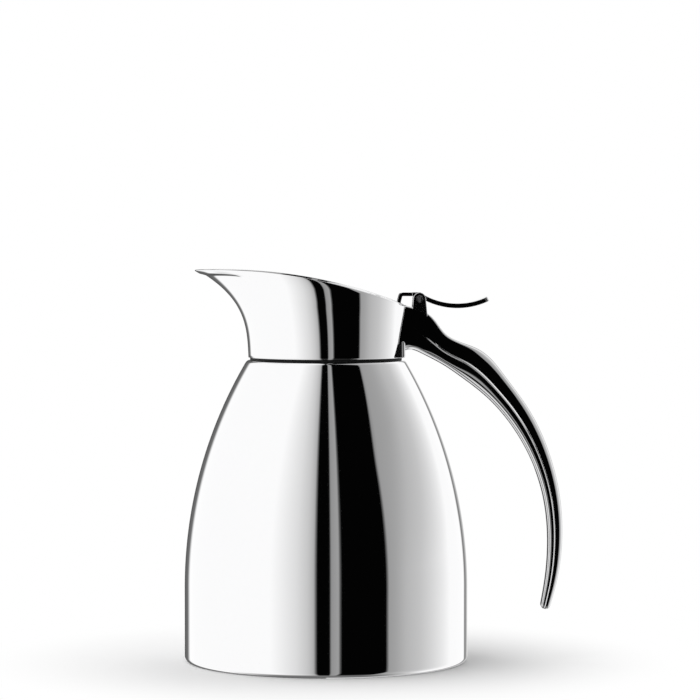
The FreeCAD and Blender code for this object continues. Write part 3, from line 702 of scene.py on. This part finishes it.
def tail_shell(sizes, collar):
    """The root's foot behind the collar: rounded rectangles whose width falls going up."""
    rise = np.linspace(0, 1, 24)[:, None] ** 2
    back = collar.radius + sizes.tail_depth
    reach = (back - sizes.tail_front) / 2
    shrink = sizes.tail_rounding * (1 - np.sqrt(1 - np.clip(1 - rise / TAIL_EDGE_SHARE, 0, 1) ** 2))
    x, y = rounded_box(reach - shrink, sizes.tail_half_width - sizes.tail_taper * rise - shrink,
                       sizes.tail_corner, 12)
    z = collar.seam_height + sizes.fit + sizes.tail_height * rise
    return closed_grid(places(back - reach + x, y, z), "poles")


class SERVER_OT_handle(bpy.types.Operator):
    """Make the polished horn with its root on the collar and its two ears"""

    bl_idname = "server.handle"
    bl_label = "Handle"

    def execute(self, context):
        sizes = context.scene.server.handle
        collar = context.scene.server.collar
        tip = grip_sections(sizes, collar, np.array([sizes.tip_angle]))
        sections = np.concatenate([root_sections(sizes, collar),
                                   grip_sections(sizes, collar, GRIP_ANGLES), tip])
        middles = (sections[:, 0:2] + sections[:, 2:4]) / 2
        steps = np.linalg.norm(np.diff(middles, axis=0), axis=1)
        knots = np.concatenate([[0], np.cumsum(steps)])
        across, side_sign = section_places()

        def surface(place):
            rows = smooth_values(knots, sections, place)
            return section_points(rows, across + 0 * place, side_sign)

        # Where each line along the handle leaves the collar
        place = np.linspace(0, knots[len(ROOT_SHARES)], TRIAL_ROWS)[:, None] + 0 * across
        trial = surface(place)
        angle = np.arctan2(trial[..., 1], -trial[..., 0])
        out = np.hypot(trial[..., 0], trial[..., 1]) - collar_radius(collar, angle, trial[..., 2], -sizes.fit)
        first = len(out) - np.argmax(out[::-1] < 0, axis=0)
        start = np.take_along_axis(place, np.clip(first, 0, len(out) - 1)[None, :], axis=0)
        horn = surface(start + (knots[-1] - start) * np.linspace(0, 1, HORN_ROWS)[:, None])
        reach = np.linalg.norm(tip[0, 2:4] - tip[0, 0:2]) / 2
        rows = [cap_rows(sizes, collar, horn[0]), horn, tip_rows(sizes, horn[-1], reach)]
        shells = [closed_grid(np.concatenate(rows), "poles"), tail_shell(sizes, collar)]
        for near, far in ((-sizes.ear_outer, -sizes.ear_inner), (sizes.ear_inner, sizes.ear_outer)):
            shells.append(plate(ear_outline(sizes), near, far, sizes.ear_rounding))
        piece = make_piece("polished_handle", shells, "polished_cast_metal", "handle", "server")
        piece.visible_glossy = False
        return {"FINISHED"}


# Thumb lever and spring

def from_pin(points):
    """Points given from the pin, as (x, z) places."""
    return np.asarray(points, dtype=float) + (PIN.x, PIN.z)


def barrel_ring(sizes, near, far):
    """A ring about the pin: a rounded rectangle of radius and width turned about the pin's line."""
    middle = (sizes.barrel_radius + sizes.bore) / 2
    across, along = rounded_box((sizes.barrel_radius - sizes.bore) / 2, (far - near) / 2,
                                sizes.rounding, 5)
    angle = whole_turn(64)[None, :]
    radius = (middle + across)[:, None]
    y = ((near + far) / 2 + along)[:, None]
    return closed_grid(places(PIN.x + radius * np.cos(angle), y, PIN.z + radius * np.sin(angle)))


END_SHARE = 0.05   # of a strip's first and last step


def strip(path, half, wall, rounding, middle=0.0):
    """A rounded strip section carried along an (x, z) path, with a half-width for each of its points.

    The section stands square to the path: a point is path + t*normal, t across the thickness.
    One more row close to each end keeps the sides flat up to it.
    """
    path = np.insert(path, [1, len(path) - 1], [path[0] + (path[1] - path[0]) * END_SHARE,
                                                path[-1] + (path[-2] - path[-1]) * END_SHARE], axis=0)
    half = np.insert(half, [1, len(half) - 1], [half[0], half[-1]])
    way = unit(np.gradient(path, axis=0))
    across, y = rounded_box(wall / 2, half[:, None], rounding, 6)
    x = path[:, :1] - way[:, 1:] * across
    z = path[:, 1:] + way[:, :1] * across
    return closed_grid(places(x, middle + y, z), "poles")


def lever_path(sizes, x):
    """Places on the arc along the middle of the lever's thickness, at distances x from the pin."""
    radius = sizes.curve + sizes.wall / 2
    bend = np.arcsin((x - sizes.low_offset) / radius)
    centre = from_pin((sizes.low_offset, sizes.curve - sizes.low_drop))
    return centre + radius * places(np.sin(bend), -np.cos(bend))


def lever_band(sizes):
    """The thumb lever: a strip along an arc that widens from the barrel to a tip with round corners."""
    start, corner = sizes.slot_half, sizes.reach - sizes.pad_rounding
    turn_in = np.sin(quarter(14)[1:])
    x = np.concatenate([np.linspace(start, corner, LEVER_ROWS), corner + sizes.pad_rounding * turn_in])
    past = np.clip((x - corner) / sizes.pad_rounding, 0, 1)
    half = (sizes.half_width + (sizes.pad_half - sizes.half_width) * x / sizes.reach
            - sizes.pad_rounding * (1 - np.sqrt(1 - past ** 2)))
    return strip(lever_path(sizes, x), half, sizes.wall, sizes.rounding)


def strap_band(sizes, collar):
    """The strap: a strip that stands on the lid, leans over the rim and runs level to the barrel."""
    inside = sizes.arm_wall / 2
    level = PIN.z + sizes.barrel_radius - inside
    toe_x = PIN.x - sizes.toe + inside
    corners = np.array([
        (toe_x, rim_height(collar, toe_x, collar.lid_drop)),
        (toe_x, rim_height(collar, toe_x, 0.0)),
        (PIN.x - sizes.arm_top, level),
        (PIN.x - sizes.slot_half, level),
    ])
    # Each corner is rounded: a quadratic curve between points at a set distance from it
    path = [corners[:1]]
    part = np.linspace(0, 1, 10)[:, None]
    for before, corner, after in zip(corners, corners[1:], corners[2:]):
        enter = corner + unit(before - corner) * sizes.arm_bend
        leave = corner + unit(after - corner) * sizes.arm_bend
        path.append(enter * (1 - part) ** 2 + 2 * corner * part * (1 - part) + leave * part ** 2)
    path = np.concatenate(path + [corners[-1:]])
    return strip(path, np.full(len(path), sizes.half_width), sizes.arm_wall, sizes.rounding)


class SERVER_OT_thumb_lever(bpy.types.Operator):
    """Make the thumb lever with its barrel, the strap over the rim and the foot on the lid"""

    bl_idname = "server.thumb_lever"
    bl_label = "Thumb lever"

    def execute(self, context):
        sizes = context.scene.server.lever
        collar = context.scene.server.collar
        half, slot, top = sizes.half_width, sizes.slot_half, sizes.barrel_radius
        toe_end = PIN.x - sizes.toe + sizes.arm_wall
        foot_x = np.linspace(PIN.x - sizes.foot, toe_end, 24)
        foot = np.concatenate([
            places(foot_x, rim_height(collar, foot_x, sizes.foot_drop)),
            places(foot_x, rim_height(collar, foot_x, collar.lid_drop))[::-1],
        ])
        shells = [lever_band(sizes), strap_band(sizes, collar), plate(foot, -half, half, sizes.rounding)]
        # Beside the spring's slot the strap and the lever run on to the barrel
        level = top - sizes.arm_wall / 2
        bridge = from_pin(places(np.linspace(-slot, 0, 8), level))
        root = lever_path(sizes, np.linspace(sizes.bore, slot, 12))
        for side in (-1, 1):
            near, far = sorted((side * slot, side * half))
            shells.append(barrel_ring(sizes, near, far))
            for path, wall in ((bridge, sizes.arm_wall), (root, sizes.wall)):
                shells.append(strip(path, np.full(len(path), (half - slot) / 2), wall, sizes.rounding,
                                    (near + far) / 2))
        piece = make_piece("polished_lever", shells, "polished_cast_metal", "thumb_lever", "lid")
        piece.visible_glossy = False
        return {"FINISHED"}


class SERVER_OT_lid_spring(bpy.types.Operator):
    """Make the return spring, which twists between the handle and the lid"""

    bl_idname = "server.lid_spring"
    bl_label = "Return spring"

    def execute(self, context):
        sizes = context.scene.server.lever
        # The wire's middle line: a straight leg, a helix about the pin, a straight leg
        angle = np.linspace(0, 2 * math.pi * sizes.turns, COIL_ROWS)
        lead = sizes.pitch / (2 * math.pi)
        low = -sizes.pitch * sizes.turns / 2
        cosine, sine = sizes.coil * np.cos(angle), sizes.coil * np.sin(angle)
        coil = places(PIN.x + cosine, low + lead * angle, PIN.z + sine)
        way = unit(places(-sine, lead, cosine))
        leg = np.linspace(0, sizes.leg, 12)[1:, None]
        path = np.concatenate([coil[0] - way[0] * leg[::-1], coil, coil[-1] + way[-1] * leg])
        way = np.concatenate([0 * leg + way[0], way, 0 * leg + way[-1]])
        out = unit(np.cross(way, (0.0, 1.0, 0.0)))
        side = np.cross(way, out)
        spin = whole_turn(20)[None, :, None]
        tube = path[:, None] + sizes.wire * (out[:, None] * np.cos(spin) + side[:, None] * np.sin(spin))
        piece = make_piece("return_spring", [closed_grid(tube, "poles")], "spring_steel", "lid_spring")
        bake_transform(piece)
        return {"FINISHED"}


# Finishes

def set_inputs(tree, node, inputs):
    """Link each input of a node to a socket, or set it to a value."""
    for name, value in inputs.items():
        if isinstance(value, bpy.types.NodeSocket):
            tree.links.new(value, node.inputs[name])
        else:
            node.inputs[name].default_value = value


def add_node(tree, kind, inputs=None, **settings):
    """The outputs of a new node with its settings and inputs."""
    node = tree.nodes.new(kind)
    for name, value in settings.items():
        setattr(node, name, value)
    set_inputs(tree, node, inputs or {})
    return node.outputs


def product(tree, first, *factors):
    """Product of sockets and numbers."""
    for factor in factors:
        first = maths(tree, "MULTIPLY", first, factor)
    return first


def maths(tree, operation, first, second):
    """Result of a Math node, whose inputs are sockets or numbers."""
    return add_node(tree, "ShaderNodeMath", {0: first, 1: second}, operation=operation)["Value"]


def ranged(tree, value, taken, given=(0.0, 1.0), shape="LINEAR"):
    """Result of a Map Range node from one (low, high) pair to another, held at the ends."""
    ends = dict(zip(("From Min", "From Max", "To Min", "To Max"), (*taken, *given)))
    return add_node(tree, "ShaderNodeMapRange", {"Value": value, **ends}, interpolation_type=shape)["Result"]


def mixed(tree, factor, first, second):
    """Colour of a Mix node between two colours, each a socket or a value."""
    inputs = {"Factor": factor, "A": first, "B": second}
    return add_node(tree, "ShaderNodeMix", inputs, data_type="RGBA")["Result"]


def noise(tree, place, scale, detail):
    """Values of a noise texture."""
    return add_node(tree, "ShaderNodeTexNoise", {"Vector": place, "Scale": scale, "Detail": detail})["Fac"]


def for_camera(tree, factor, others, white):
    """A shader that is white to camera rays by a factor, and what others see to all other rays."""
    seen = add_node(tree, "ShaderNodeLightPath")["Is Camera Ray"]
    inputs = {"Fac": product(tree, factor, seen), 1: others, 2: white}
    return add_node(tree, "ShaderNodeMixShader", inputs)["Shader"]


def opaque(colour, part=1.0):
    """A colour value, darkened to a part of itself."""
    return (*[channel * part for channel in colour], 1.0)


CLOUD_DETAIL = 2.0
MASK_TOP = 0.5   # of the marks' mask, where the roughness is at its dullest


def marks_group(name, stretch, detail, cloud_scale):
    """A node group: marks stretched along an axis as a roughness, a height and a mask."""
    tree = bpy.data.node_groups.new(name, "ShaderNodeTree")
    for way, sockets in (("INPUT", ("Scale", "Smooth", "Dull")), ("OUTPUT", ("Roughness", "Height", "Mask"))):
        for socket in sockets:
            tree.interface.new_socket(socket, in_out=way, socket_type="NodeSocketFloat")
    given = add_node(tree, "NodeGroupInput")
    place = add_node(tree, "ShaderNodeTexCoord")["Object"]
    stretched = add_node(tree, "ShaderNodeMapping", {"Vector": place, "Scale": stretch})["Vector"]
    marks = noise(tree, stretched, given["Scale"], detail)
    mask = product(tree, marks, noise(tree, place, cloud_scale, CLOUD_DETAIL))
    roughness = ranged(tree, mask, (0.0, MASK_TOP), (given["Smooth"], given["Dull"]))
    add_node(tree, "NodeGroupOutput", {"Roughness": roughness, "Height": marks, "Mask": mask})
    return tree


# Kinds of marks: stretch along the axes, detail and size of the slow clouds.
MARKS = {
    "Polish marks": ((1.0, 1.0, 1.0), 4.0, 25.0),
    "Brushed lines": ((0.05, 0.05, 1.0), 5.0, 60.0),
    "Moulded grain": ((1.0, 1.0, 1.0), 3.0, 90.0),
}

# Finish of each material slot: colour property, darkest share of it, marks, their scale,
# roughness from smooth to dull, bump height in metres, metallic, and the share of the colour
# that is left where the surface turns away from the camera, which is a painted dark edge reflection.
SLOT_FINISHES = {
    "polished_steel": ("polished", 0.975, "Polish marks", 700.0, (0.015, 0.045), 0.0, 1.0, 1.0),
    "polished_cast_metal": ("cast", 0.975, "Polish marks", 900.0, (0.02, 0.06), 0.0, 1.0, 0.2),
    "brushed_steel": ("brushed", 0.75, "Brushed lines", 4000.0, (0.24, 0.42), 4e-6, 1.0, 1.0),
    "pin_steel": ("turned", 0.7, "Brushed lines", 6000.0, (0.38, 0.55), 3e-6, 1.0, 1.0),
    "spring_steel": ("brushed", 0.7, "Brushed lines", 5000.0, (0.2, 0.34), 2e-6, 1.0, 1.0),
    "getter_metal": ("getter", 0.5, "Moulded grain", 2500.0, (0.6, 0.9), 3e-5, 0.6, 1.0),
    "black_plastic": ("plastic", 0.7, "Moulded grain", 3000.0, (0.35, 0.55), 1e-5, 0.0, 1.0),
    "black_rubber": ("rubber", 0.7, "Moulded grain", 2500.0, (0.5, 0.75), 8e-6, 0.0, 1.0),
    "grey_silicone": ("silicone", 0.85, "Moulded grain", 2000.0, (0.38, 0.55), 6e-6, 0.0, 1.0),
    "white_foam": ("foam", 0.8, "Moulded grain", 1200.0, (0.8, 0.95), 1.2e-4, 0.0, 1.0),
}


PAINTED_DARK_EDGE_FACINGS = (0.62, 0.85)   # facing values between which the painted dark edge reflection comes in
METAL_SHINE = 0.5             # specular level


def finish_for(slot):
    """The material of a slot: two tones mixed by its marks, with their roughness and bump, and a painted dark
    reflection where the surface turns away.
    """
    name = slot.replace("_", " ").capitalize()
    if name in bpy.data.materials:
        return bpy.data.materials[name]
    colour_name, darkest, marks_name, scale, roughness, bump_height, metallic, edge = SLOT_FINISHES[slot]
    finish = bpy.context.scene.server.finish
    colour = getattr(finish, colour_name)
    material = bpy.data.materials.new(name)
    material.use_nodes = True
    tree = material.node_tree
    group = bpy.data.node_groups.get(marks_name) or marks_group(marks_name, *MARKS[marks_name])
    inputs = {"Scale": scale, "Smooth": roughness[0], "Dull": roughness[1]}
    marks = add_node(tree, "ShaderNodeGroup", inputs, node_tree=group)
    tones = mixed(tree, marks["Mask"], opaque(colour, darkest), opaque(colour))
    # Painted dark reflection: the colour falls to a share of itself where the surface turns away from the camera
    turned = ranged(tree, add_node(tree, "ShaderNodeLayerWeight")["Facing"], PAINTED_DARK_EDGE_FACINGS)
    look = {
        "Base Color": mixed(tree, turned, tones, opaque(colour, edge)),
        "Metallic": metallic,
        "Specular IOR Level": METAL_SHINE if metallic else finish.dull_shine,
        "Roughness": marks["Roughness"],
    }
    if bump_height:
        inputs = {"Distance": bump_height, "Height": marks["Height"]}
        look["Normal"] = add_node(tree, "ShaderNodeBump", inputs)["Normal"]
    set_inputs(tree, tree.nodes["Principled BSDF"], look)
    return material


HIDDEN_IN_HANDLE = ("handle", "handle_screws", "backing_plate", "hinge_pin")


class SERVER_OT_finishes(bpy.types.Operator):
    """Give every carried-over node the finish of its slot"""

    bl_idname = "server.finishes"
    bl_label = "Finishes"

    def execute(self, context):
        for subpart in frame["record"]["subparts"]:
            node = frame["nodes"][subpart["node"]]
            # What sits inside the handle stays out of the reflections, as the handle does
            node.visible_glossy = subpart["node"] not in HIDDEN_IN_HANDLE
            node.data.materials.clear()
            node.data.materials.append(finish_for(subpart["material_slot"]))
        return {"FINISHED"}


# Stage

# What the polished metal reflects: azimuth from the camera's direction, to the right, in degrees,
# and how light it is there on a display.
STUDIO_BANDS = (
    (-180, 100), (-168, 84), (-153, 112), (-146, 253), (-46, 253), (-36, 240), (-24, 222), (-15, 200),
    (-10, 176), (-8.8, 130), (-7.8, 3), (2.8, 3), (4.3, 146), (10, 158), (11.7, 3), (50, 3),
    (51.6, 154), (58, 163), (68, 182), (82, 196), (96, 216), (110, 236), (120, 252), (151, 252),
    (155, 100), (180, 100),
)
FLAG_END = 51.6                # azimuth where the wide dark flag ends, in degrees
FLAG_GROWTH = 13.5             # degrees that it has gained at the upper of the next two sines
GROWTH_SINES = (0.42, 0.77)    # of the height
GROWTH_ANGLES = (30, 45)       # only the flag's far part moves, between these degrees
SQUEEZE_SINE = 0.53            # sine of the height where what lies past it is spread the most
SQUEEZE_SHARE = 0.9            # of the angle past the flag's end that is taken off there, at most
FLOOR_TONE = 112               # straight down
FLOOR_ROUGHNESS = 0.9
FLOOR_SINES = (-0.93, -0.72)   # sines of the heights between which the floor takes over


def grey(tone):
    """The linear colour of a display tone of 0 to 255, by the sRGB curve."""
    value = tone / 255
    level = value / 12.92 if value <= 0.04045 else ((value + 0.055) / 1.055) ** 2.4
    return opaque((level, level, level))


def studio_world(reflectance):
    """White to the camera; bands of light and dark flags by compass direction to everything else."""
    world = bpy.data.worlds.new("Studio")
    world.use_nodes = True
    tree = world.node_tree
    tree.nodes.clear()
    place = add_node(tree, "ShaderNodeTexCoord")["Generated"]
    parts = add_node(tree, "ShaderNodeSeparateXYZ", {"Vector": place})
    height = parts["Z"]
    compass = maths(tree, "ARCTAN2", parts["X"], product(tree, parts["Y"], -1.0))
    # Going up, the dark flag gets wider
    rise = ranged(tree, height, GROWTH_SINES)
    moved = ranged(tree, compass, [math.radians(angle) for angle in GROWTH_ANGLES])
    growth = product(tree, rise, rise, math.radians(FLAG_GROWTH), moved)
    compass = maths(tree, "SUBTRACT", compass, growth)
    # Going up, what lies past the flag is spread further round
    past = maths(tree, "MAXIMUM", maths(tree, "SUBTRACT", compass, math.radians(FLAG_END)), 0.0)
    squeeze = ranged(tree, height, (0.0, SQUEEZE_SINE), (0.0, SQUEEZE_SHARE))
    left = ranged(tree, past, (0.0, math.radians(180 - FLAG_END)), (1.0, 0.0))
    settled = maths(tree, "SUBTRACT", compass, product(tree, squeeze, left, past))
    ramp = tree.nodes.new("ShaderNodeValToRGB")
    stops = ramp.color_ramp.elements
    for number, (degrees, tone) in enumerate(STUDIO_BANDS):
        where = (degrees + 180) / 360
        stop = stops[number] if number < 1 else stops.new(where)
        stop.position = where
        stop.color = grey(tone)
    stops.remove(stops[-1])
    set_inputs(tree, ramp, {"Fac": ranged(tree, settled, (-math.pi, math.pi))})
    colour = mixed(tree, ranged(tree, height, FLOOR_SINES), grey(FLOOR_TONE), ramp.outputs["Color"])
    inputs = {"Color": colour, "Strength": 1 / reflectance}
    bands = add_node(tree, "ShaderNodeBackground", inputs)["Background"]
    white = add_node(tree, "ShaderNodeBackground", {"Color": opaque((1.0, 1.0, 1.0))})["Background"]
    add_node(tree, "ShaderNodeOutputWorld", {"Surface": for_camera(tree, 1.0, bands, white)})
    return world


class SERVER_OT_stage(bpy.types.Operator):
    """Set the studio: surroundings, floor, lamp and camera"""

    bl_idname = "server.stage"
    bl_label = "Studio"

    def execute(self, context):
        scene = context.scene
        stage = scene.server.stage
        finish = scene.server.finish
        scene.view_settings.view_transform = "Standard"
        scene.world = studio_world(finish.polished[0])
        self.add_floor(stage, finish)
        lamp = bpy.data.lights.new("Soft lamp", "AREA")
        lamp.energy = stage.lamp_power
        lamp.size = stage.lamp_size
        lamp_object = put("Soft lamp", lamp)
        lamp_object.location = (0, 0, stage.lamp_height)
        lamp_object.visible_glossy = False
        lens = bpy.data.cameras.new("Camera")
        lens.lens = stage.lens
        scene.camera = put("Camera", lens)
        scene.camera.location = (0, -stage.camera_distance, stage.camera_height)
        scene.camera.rotation_euler = (math.pi / 2 - stage.camera_pitch, 0, -stage.camera_yaw)
        return {"FINISHED"}

    def add_floor(self, stage, finish):
        """A pale floor that takes the shadow near the object and turns to plain white far off."""
        half = stage.floor_half
        mesh = bpy.data.meshes.new("Floor")
        corners = [(-half, -half, 0), (half, -half, 0), (half, half, 0), (-half, half, 0)]
        mesh.from_pydata(corners, [], [(0, 1, 2, 3)])
        floor = put("Floor", mesh)
        floor.visible_glossy = False
        material = bpy.data.materials.new("Studio floor")
        material.use_nodes = True
        tree = material.node_tree
        shader = tree.nodes["Principled BSDF"]
        set_inputs(tree, shader, {"Base Color": opaque(finish.floor), "Roughness": FLOOR_ROUGHNESS,
                                  "Specular IOR Level": 0.0})
        place = add_node(tree, "ShaderNodeTexCoord")["Object"]
        away = add_node(tree, "ShaderNodeVectorMath", {0: place}, operation="LENGTH")["Value"]
        fade = ranged(tree, away, (stage.shade_near, stage.shade_far), shape="SMOOTHSTEP")
        white = add_node(tree, "ShaderNodeEmission")["Emission"]
        surface = for_camera(tree, fade, shader.outputs["BSDF"], white)
        set_inputs(tree, tree.nodes["Material Output"], {"Surface": surface})
        mesh.materials.append(material)


class SERVER_PT_panel(bpy.types.Panel):
    """Lists the steps that make the server"""

    bl_label = "Thermal server"
    bl_idname = "SERVER_PT_panel"
    bl_space_type = "VIEW_3D"
    bl_region_type = "UI"
    bl_category = "Server"

    def draw(self, context):
        for step in STEPS:
            self.layout.operator(step.bl_idname)


STEPS = (SERVER_OT_stage, SERVER_OT_finishes, SERVER_OT_vessel, SERVER_OT_spout_collar,
         SERVER_OT_lid_cover, SERVER_OT_handle, SERVER_OT_thumb_lever, SERVER_OT_lid_spring)
CLASSES = (VesselSizes, CollarSizes, HandleSizes, LeverSizes, FinishColours, StageSizes, ServerSettings,
           *STEPS, SERVER_PT_panel)


def register():
    """Register the classes and the settings."""
    for each in CLASSES:
        bpy.utils.register_class(each)
    bpy.types.Scene.server = bpy.props.PointerProperty(type=ServerSettings)


def unregister():
    """Remove the settings and the classes."""
    del bpy.types.Scene.server
    for each in reversed(CLASSES):
        bpy.utils.unregister_class(each)


def main():
    """Make the whole scene, step by step."""
    register()
    for step in STEPS:
        group, name = step.bl_idname.split(".")
        getattr(getattr(bpy.ops, group), name)()


if __name__ == "__main__":
    main()
